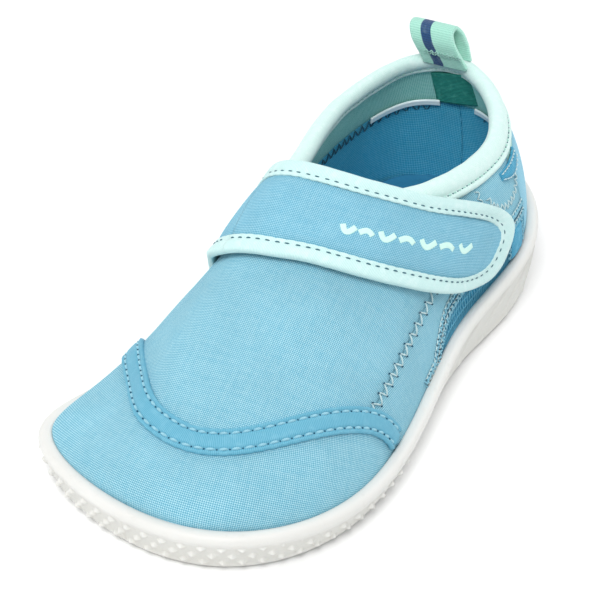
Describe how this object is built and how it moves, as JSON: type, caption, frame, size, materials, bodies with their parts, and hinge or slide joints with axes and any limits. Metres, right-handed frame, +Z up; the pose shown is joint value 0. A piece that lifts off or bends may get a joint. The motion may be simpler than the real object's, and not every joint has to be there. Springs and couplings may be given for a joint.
{
  "type": "aqua shoe",
  "caption": "Low-cut child's water shoe for the left foot, fabric upper with a hook-and-loop instep strap, heel pull loop and studded rubber cup sole.",
  "frame": {"origin": "middle of the footprint, on the ground under the tread", "axes": "+Z up, toe towards -Y, heel towards +Y, lateral side towards +X"},
  "size_m": [0.082, 0.173, 0.063],
  "materials": {
    "sky_canvas": "matte weave",
    "sky_smooth": "smooth coated fabric",
    "blue_tape": "satin webbing",
    "mint_binding": "matte knit",
    "mint_lining": "matte knit",
    "blue_lining": "matte weave",
    "green_tape": "ribbed webbing",
    "white_sole": "satin",
    "footbed_foam": "matte foam",
    "board": "matte",
    "hook_tape": "matte hooks",
    "loop_tape": "brushed loops",
    "seam_film": "glossy film"
  },
  "bodies": {
    "shoe": {"outsole": "white_sole", "strobel_board": "board", "footbed": "footbed_foam", "toe_panel": "sky_canvas", "vamp_panel": "sky_canvas", "lateral_side_panel": "sky_canvas", "drain_mesh": "blue_tape", "medial_quarter": "sky_canvas", "lateral_quarter": "sky_canvas", "heel_counter": "sky_smooth", "heel_top_panel": "mint_binding", "forefoot_lining": "blue_lining", "medial_lining": "blue_lining", "lateral_lining": "blue_lining", "collar_lining": "mint_lining", "heel_inner_tape": "green_tape", "medial_seam_tape": "seam_film", "lateral_seam_tape": "seam_film", "toe_seam_tape": "blue_tape", "heel_patch": "blue_tape", "drain_tab": "blue_tape", "collar_binding": "mint_binding", "strap_anchor": "sky_canvas", "strap_anchor_bind_front": "mint_binding", "strap_anchor_bind_rear": "mint_binding", "strap_loop_pad": "loop_tape", "pull_loop": "mint_binding"},
    "strap": {"strap_mid": "sky_canvas", "strap_mid_bind_front": "mint_binding", "strap_mid_bind_rear": "mint_binding"},
    "strap_end": {"strap_tip": "sky_canvas", "strap_tip_bind": "mint_binding", "strap_hook_pad": "hook_tape"}
  },
  "joints": [
    {"name": "strap_swing", "type": "hinge", "parent": "shoe", "child": "strap", "pos_m": [-0.0255, -0.0029, 0.0354], "axis": [-0.151, -0.9431, -0.2963], "range_deg": [0, 110]},
    {"name": "strap_peel", "type": "hinge", "parent": "strap", "child": "strap_end", "pos_m": [0.0061, -0.0118, 0.0537], "axis": [0.0061, -0.8846, -0.4663], "range_deg": [0, 85]}
  ]
}
